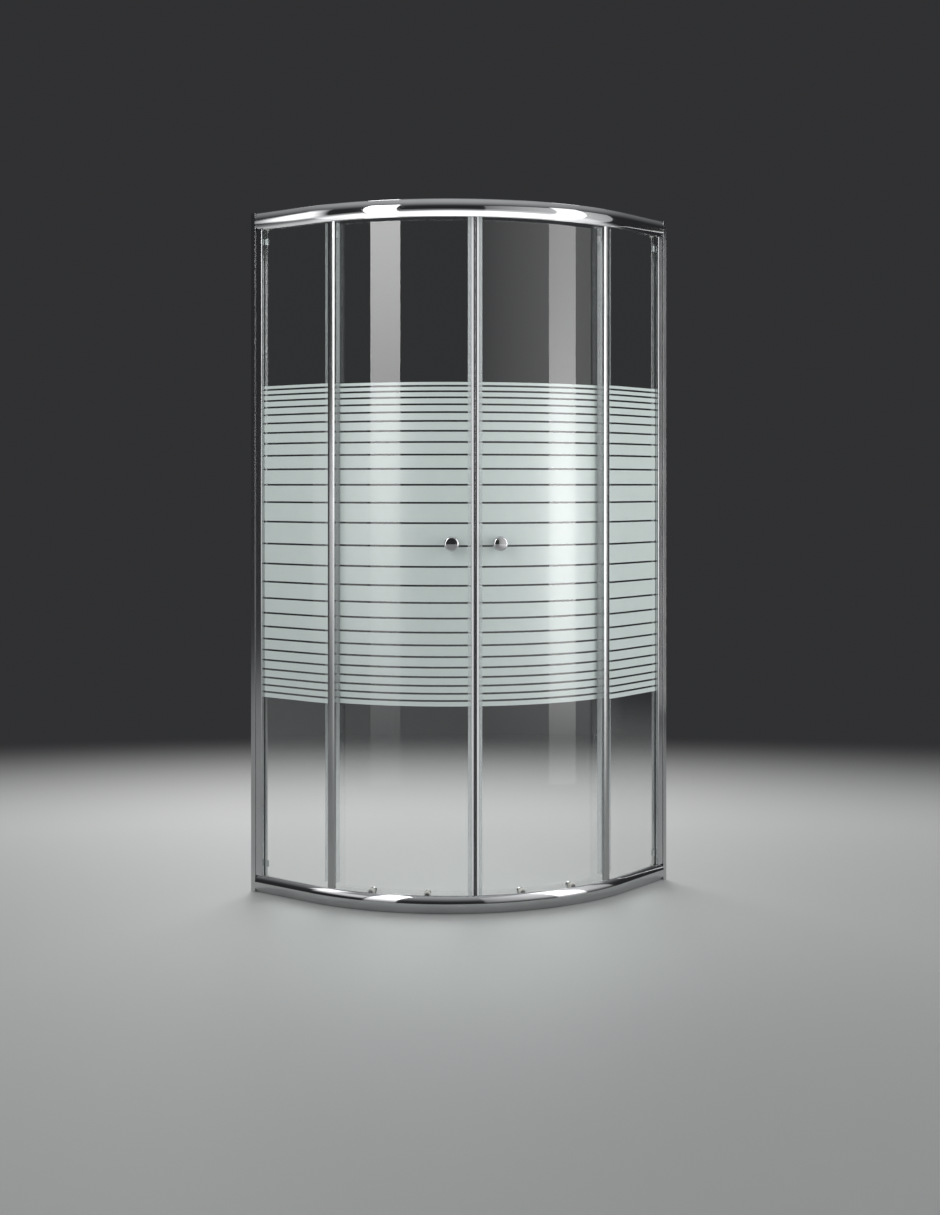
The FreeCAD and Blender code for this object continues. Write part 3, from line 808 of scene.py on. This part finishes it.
def make_frame_screws():
    """Countersunk screws with a cross recess, through the rails into the side profiles."""
    screws = bmesh.new()
    recesses = bmesh.new()
    outline = [(screw_head, 0.0), (screw_shank, rail_wall), (screw_shank, rail_height + screw_grip)]
    for face, inward in ((0.0, 1.0), (height, -1.0)):
        for place in screw_places(face):
            stacked(screws, place, [(radius, rise * inward) for radius, rise in outline])
            for arm, width in ((recess_arm, recess_width / 2), (recess_width / 2, recess_arm)):
                block(recesses, place + Vector((-arm, -width, -cut_past * inward)),
                      place + Vector((arm, width, recess_depth * inward)))
    bmesh.ops.recalc_face_normals(recesses, faces=recesses.faces)
    piece = finished("cross_head_screws", screws, [bright_steel])
    cut_away(piece, recesses)
    settle(piece, "frame", "steel", "frame_screws")


# Glass and its stripes

def pane_section(low, top):
    """A pane's thickness and height, with ground edges, measured from its outer face."""
    corners = [(0, low), (glass_thickness, low), (glass_thickness, top), (0, top)]
    return rounded(corners, [glass_chamfer] * len(corners), steps=1)


def make_glass(sweep_tree, stripes_tree):
    """The fixed panes and the doors, each with the striped film on its outer face."""
    film_front = -film_gap - film_thickness
    film = [(film_front, 0.0), (-film_gap, 0.0), (-film_gap, 1.0), (film_front, 1.0)]
    for hand in hands:
        pane = grown("clear_pane_" + hand, sweep_tree, pane_path(pane_start, 0.0, hand),
                     pane_section(pane_end, height - pane_end), glass)
        settle(pane, "frame", "glass", "fixed_glass_" + hand)
        door = grown("clear_door_" + hand, sweep_tree, door_path(0.0, hand),
                     pane_section(door_bottom, door_top), glass)
        settle(door, "door_" + hand, "glass", "door_glass_" + hand)
        pane_film = grown("pane_stripes_" + hand, stripes_tree,
                          pane_path(profile_reach, film_margin, hand), film, frosted)
        settle(pane_film, "frame", "glass")
        door_film = grown("door_stripes_" + hand, stripes_tree, door_path(film_margin, hand), film, frosted)
        settle(door_film, "door_" + hand, "glass")


# Upright seals and profiles

def magnet_seal_outline():
    """The meeting seal: a rounded nose that narrows to two lips on the glass."""
    front = math.degrees(meeting_half / door_radius)
    rear = math.degrees(magnet_rear / door_radius)
    tip = door_edge + math.degrees(seal_grip / door_radius)
    outer, inner = door_outer - magnet_bulge, door_inner + magnet_bulge
    lip_outer_face, lip_inner_face = door_outer - seal_wall, door_inner + seal_wall
    corners = [(front, outer), (rear, outer), (door_edge, lip_outer_face), (tip, lip_outer_face),
               (tip, door_outer), (door_edge, door_outer), (door_edge, door_inner), (tip, door_inner),
               (tip, lip_inner_face), (door_edge, lip_inner_face), (rear, inner), (front, inner)]
    half = [nose_bend, shoulder_bend, neck_bend, lip_bend, 0.0, 0.0]
    return rounded([on_curve(theta, u).to_2d() for theta, u in corners], half + half[::-1],
                   steps=8, most=0.48)


def part_of_seal(point):
    """Whether a place is on the lips of a meeting seal, on the core behind its magnet or on its nose."""
    turn = (point - curve_centre).to_2d().angle(outward(0.0).to_2d())
    arc = door_radius * turn
    if arc > door_front:
        return on_lips
    return on_core if arc > magnet_rear - core_margin else on_nose


def edge_profile_outline():
    """The channel on a fixed pane's free edge, with a swelling outer face."""
    face = []
    for step in range(edge_steps + 1):
        share = step / edge_steps
        swell = edge_bulge * (1 - (2 * share - 1) ** 2)
        face.append((-edge_nose + (edge_grip + edge_nose) * share, slot_outer - swell))
    rest = [(edge_grip, slot_outer + edge_wall), (0.0, slot_outer + edge_wall),
            (0.0, slot_inner - edge_wall), (edge_grip, slot_inner - edge_wall),
            (edge_grip, slot_inner), (-edge_nose, slot_inner)]
    return [on_curve(pane_edge + math.degrees(arc / pane_radius), u) for arc, u in face + rest]


def make_uprights():
    """The meeting seals on the doors and the profiles on the panes' free edges."""
    for hand in hands:
        turn = across if hand == "right" else Vector
        seal = bar("meeting_seal_" + hand, [turn(point.to_3d()) for point in magnet_seal_outline()],
                   door_bottom, door_top, [seal_plastic, seal_core, seal_nose], part_of_seal)
        settle(seal, "door_" + hand, "clear_seal", "magnet_seal_" + hand)
        profile = bar("pane_edge_" + hand, [turn(point) for point in edge_profile_outline()],
                      rail_height, height - rail_height, [satin_edge])
        settle(profile, "frame", "chrome", "edge_profile_" + hand)


# Knobs and rollers

def bent(middle, reach, turns):
    """Points on a bend about a middle, in radius and rise."""
    return [(middle[0] + reach[0] * math.cos(turn), middle[1] + reach[1] * math.sin(turn)) for turn in turns]


def knob_outlines():
    """Outer and inner knob, as radius and u."""
    quarter_turn = [math.pi / 2 * step / bend_steps for step in range(bend_steps + 1)]
    crown = knob_radius - knob_rim
    shoulder = knob_depth - knob_dome
    outer = knob_foot + bent(neck_middle, neck_reach, quarter_turn[:neck_points])
    outer += bent((knob_radius - flare_reach[0], flare_rise), flare_reach,
                  [turn - math.pi / 2 for turn in quarter_turn[flare_skip:]])
    outer += bent((crown, shoulder - knob_rim), (knob_rim, knob_rim), quarter_turn)
    for step in range(1, dome_steps + 1):
        share = 1 - step / dome_steps
        outer.append((crown * share, shoulder + knob_dome * (1 - share ** 2)))
    inner_middle = (inner_knob_radius - inner_knob_rim, inner_knob_depth - inner_knob_rim)
    inner = inner_knob_foot + bent(inner_middle, (inner_knob_rim, inner_knob_rim), quarter_turn)
    inner.append((0.0, inner_knob_depth))
    base = door_outer - knob_washer
    seat = door_inner + inner_knob_gap + knob_washer
    return ([(radius, base - rise) for radius, rise in outer],
            [(radius, seat + rise) for radius, rise in inner])


def make_knobs():
    """The knob on each side of each door."""
    outer, inner = knob_outlines()
    for hand, sign in hands.items():
        for kind, outline in (("outer_knob_", outer), ("inner_knob_", inner)):
            knob = turned("bright_" + kind + hand, [outline], sign * knob_theta, knob_height, [chrome_knob])
            settle(knob, "door_" + hand, "knob_chrome", kind + hand)


def both_sides(half):
    """A wheel's ring from half of it, as radius and u."""
    middle = (lip_outer + lip_inner) / 2
    left, right = middle - wheel_width / 2, middle + wheel_width / 2
    return [(radius, left + depth) for radius, depth in half] + [
        (radius, right - depth) for radius, depth in reversed(half)]


def make_rollers():
    """Grooved tyres, each with a bearing pressed into it."""
    bearing = both_sides(half_bearing)
    for level, tread, axis in wheel_levels:
        rim = tread + tyre_flange
        tyre = both_sides([half_bearing[-1], (hub_radius, 0.0), (rim - tyre_chamfer, 0.0),
                           (rim, tyre_chamfer), (rim, groove_mouth), (tread, groove_floor)])
        for place, theta in wheel_thetas.items():
            for hand, sign in hands.items():
                node = level + "_wheel_" + place + "_" + hand
                wheel = turned("running_" + node, [tyre, bearing], sign * theta, axis,
                               [pale_nylon, bright_steel], steps=48)
                settle(wheel, node, "nylon", node)


# Stage

# The photograph's viewpoint
image_width = 940.0
image_height = 1215.0
eye = (2.830, -3.612, 1.080)
eye_turn = 37.88
eye_pixel = (467.8, 484.7)
focal_pixels = 1701.0
sensor_width = 36.0

# The floor and what is behind it
floor_radius = 9.0
floor_middle = Vector((3.78, -4.84, -0.0002))
floor_colour = (0.88, 0.88, 0.87, 1.0)
floor_roughness = 0.6
fade_from, fade_to = floor_radius * 0.77, floor_radius * 0.99
background_colour = (0.030, 0.0305, 0.032, 1.0)
overhead_colour = (0.55, 0.56, 0.57, 1.0)
overhead_from = 0.28
room_light = (0.28, 0.285, 0.29, 1.0)

# Places along a lamp's side, each with its share of the light
even = ((0.0, 1.0), (1.0, 1.0))
soft_ends = ((0.0, 0.0), (0.3, 1.0), (0.7, 1.0), (1.0, 0.0))
soft_all_over = ((0.0, 0.0), (0.4, 1.0), (0.6, 1.0), (1.0, 0.0))


def make_floor():
    """A wide pale floor in front and below, whose far edge fades into the background."""
    mesh_data = bmesh.new()
    bmesh.ops.create_circle(mesh_data, cap_ends=True, radius=floor_radius, segments=96)
    bmesh.ops.translate(mesh_data, verts=mesh_data.verts, vec=floor_middle)
    material, tree, shader, coordinates = blank("studio_floor")
    away = add(tree, "ShaderNodeVectorMath", {0: coordinates, 1: floor_middle}, operation="DISTANCE")
    fade = add(tree, "ShaderNodeMapRange",
               {"Value": away.outputs["Value"], "From Min": fade_from, "From Max": fade_to},
               interpolation_type="SMOOTHSTEP")
    plug_all(tree, shader.inputs, {"Base Color": floor_colour, "Roughness": floor_roughness})
    beyond = add(tree, "ShaderNodeEmission", {"Color": background_colour})
    plug(tree, mixed(tree, fade.outputs[0], shader, beyond), tree.nodes["Material Output"].inputs["Surface"])
    floor = finished("studio_floor", mesh_data, [material])
    return floor


def make_world():
    """Even studio light, and a dark grey that brightens overhead.

    Only the camera, reflections and glass show the grey; scattered light comes from the even light."""
    world = bpy.data.worlds.new("studio")
    world.use_nodes = True
    tree = world.node_tree
    light = tree.nodes["Background"]
    light.inputs["Color"].default_value = room_light
    towards = add(tree, "ShaderNodeSeparateXYZ", {0: add(tree, "ShaderNodeTexCoord").outputs["Generated"]})
    overhead = add(tree, "ShaderNodeMapRange",
                   {"Value": towards.outputs["Z"], "From Min": overhead_from, "From Max": 1.0},
                   interpolation_type="SMOOTHSTEP")
    sky = add(tree, "ShaderNodeMix", {"Factor": overhead.outputs[0], "A": background_colour,
                                      "B": overhead_colour}, data_type="RGBA")
    seen = add(tree, "ShaderNodeBackground", {"Color": sky.outputs["Result"]})
    path = add(tree, "ShaderNodeLightPath").outputs
    mirrored = maths(tree, "MAXIMUM", path["Is Glossy Ray"], path["Is Transmission Ray"])
    straight = maths(tree, "MAXIMUM", path["Is Camera Ray"], mirrored)
    unscattered = maths(tree, "LESS_THAN", path["Diffuse Depth"], 0.5)
    shown = maths(tree, "MULTIPLY", straight, unscattered)
    plug(tree, mixed(tree, shown, light, seen), tree.nodes["World Output"].inputs["Surface"])
    bpy.context.scene.world = world


def lamp_list(name, pieces, state):
    """A lamp's list of the only pieces that it lights, or of those that it leaves out."""
    listed = bpy.data.collections.new(name)
    for piece in pieces:
        listed.objects.link(piece)
    for entry in listed.collection_objects:
        entry.light_linking.link_state = state
    return listed


def faded(tree, along, stops):
    """A share of the light that follows stops of place and share along one side of a lamp."""
    ramp = add(tree, "ShaderNodeValToRGB", {"Fac": along})
    elements = ramp.color_ramp.elements
    while len(elements) < len(stops):
        elements.new(1.0)
    for element, (position, share) in zip(elements, stops):
        element.position = position
        element.color = (share, share, share, 1.0)
    return ramp.outputs["Color"]


def soft_box(name, place, aim, width, tall, brightness, upward=even, sideways=even, lights=None,
             shape="RECTANGLE"):
    """A soft light that fades along its height and width, and shows only in reflections."""
    data = bpy.data.lights.new(name, "AREA")
    data.shape = shape
    data.size = width
    data.size_y = tall
    data.energy = brightness * math.pi * width * tall
    data.use_nodes = True
    tree = data.node_tree
    along = add(tree, "ShaderNodeSeparateXYZ", {0: add(tree, "ShaderNodeNewGeometry").outputs["Parametric"]})
    share = maths(tree, "MULTIPLY", faded(tree, along.outputs["X"], sideways),
                  faded(tree, along.outputs["Y"], upward))
    plug(tree, share, tree.nodes["Emission"].inputs["Strength"])
    lamp = placed(name, data)
    lamp.visible_transmission = False
    lamp.light_linking.receiver_collection = lights
    lamp.location = place
    lamp.rotation_euler = (Vector(aim) - Vector(place)).to_track_quat("-Z", "Y").to_euler()


def make_lamps(floor, bottom_rail, top_rail):
    """Lamps for the streaks in the glass and chrome, and a fill from behind."""
    object_only = lamp_list("all_but_the_floor", [floor], "EXCLUDE")
    top_rail_only = lamp_list("top_rail_only", [top_rail], "INCLUDE")
    rails_only = lamp_list("rails_only", [bottom_rail, top_rail], "INCLUDE")
    soft_box("left_streak", place=(0.075, -2.1, 1.45), aim=(0.07, -0.3, 1.45), width=0.62, tall=2.9,
             brightness=8.0, upward=((0.05, 0.03), (0.3, 0.22), (0.62, 0.61), (1.0, 1.0)),
             lights=object_only)
    soft_box("right_streak", place=(2.01, 0.44, 1.45), aim=(0.3, 0.03, 1.45), width=0.62, tall=2.9,
             brightness=4.0, upward=((0.05, 0.14), (0.3, 1.0), (0.62, 0.6), (1.0, 0.35)),
             lights=object_only)
    soft_box("right_panel", place=(2.15, 0.1, 1.4), aim=(0.2, 0.0, 1.4), width=3.25, tall=2.6,
             brightness=0.95, upward=((0.0, 0.0), (0.25, 1.0), (1.0, 0.85)),
             sideways=((0.0, 0.3), (0.3, 0.65), (0.6, 1.0), (1.0, 0.6)), lights=object_only)
    soft_box("left_low", place=(-0.70, -1.70, 0.92), aim=(-0.1, -0.36, 0.92), width=0.96, tall=0.92,
             brightness=0.8, upward=soft_ends, lights=object_only)
    soft_box("right_edge", place=(1.175, 1.668, 1.12), aim=(0.4, 0.38, 1.12), width=0.03, tall=1.7,
             brightness=1.3, lights=object_only)
    soft_box("rear_fill", place=(-2.0, 2.0, 1.9), aim=(0.0, 0.0, 0.95), width=3.4, tall=2.8,
             brightness=3.2, upward=soft_ends, sideways=soft_ends)
    soft_box("front_glow", place=(1.3, -1.3, 0.02), aim=(1.3, -1.3, 1.0), width=8.5, tall=8.5,
             brightness=1.7, upward=soft_all_over, sideways=soft_all_over, lights=top_rail_only,
             shape="DISK")
    soft_box("left_end_glow", place=(-1.35, -1.80, 1.9), aim=(-0.3, -0.4, 1.78), width=0.85, tall=1.9,
             brightness=2.4, upward=soft_ends,
             sideways=((0.13, 0.0), (0.27, 1.0), (0.45, 1.0), (1.0, 0.0)), lights=rails_only)


def make_camera():
    data = bpy.data.cameras.new("photo_camera")
    data.sensor_width = sensor_width
    data.lens = focal_pixels / image_height * sensor_width
    data.shift_x = (image_width / 2 - eye_pixel[0]) / image_height
    data.shift_y = (eye_pixel[1] - image_height / 2) / image_height
    camera = placed("photo_camera", data)
    camera.location = eye
    camera.rotation_euler = (math.radians(90.0), 0.0, math.radians(eye_turn))
    bpy.context.scene.camera = camera


dress_frame()
sweep = section_sweep_tree()
bottom_rail, top_rail = make_rails(sweep)
make_frame_screws()
make_glass(sweep, frosted_stripes_tree())
make_uprights()
make_knobs()
make_rollers()
make_world()
make_lamps(make_floor(), bottom_rail, top_rail)
make_camera()
bpy.context.scene.view_settings.view_transform = "Standard"
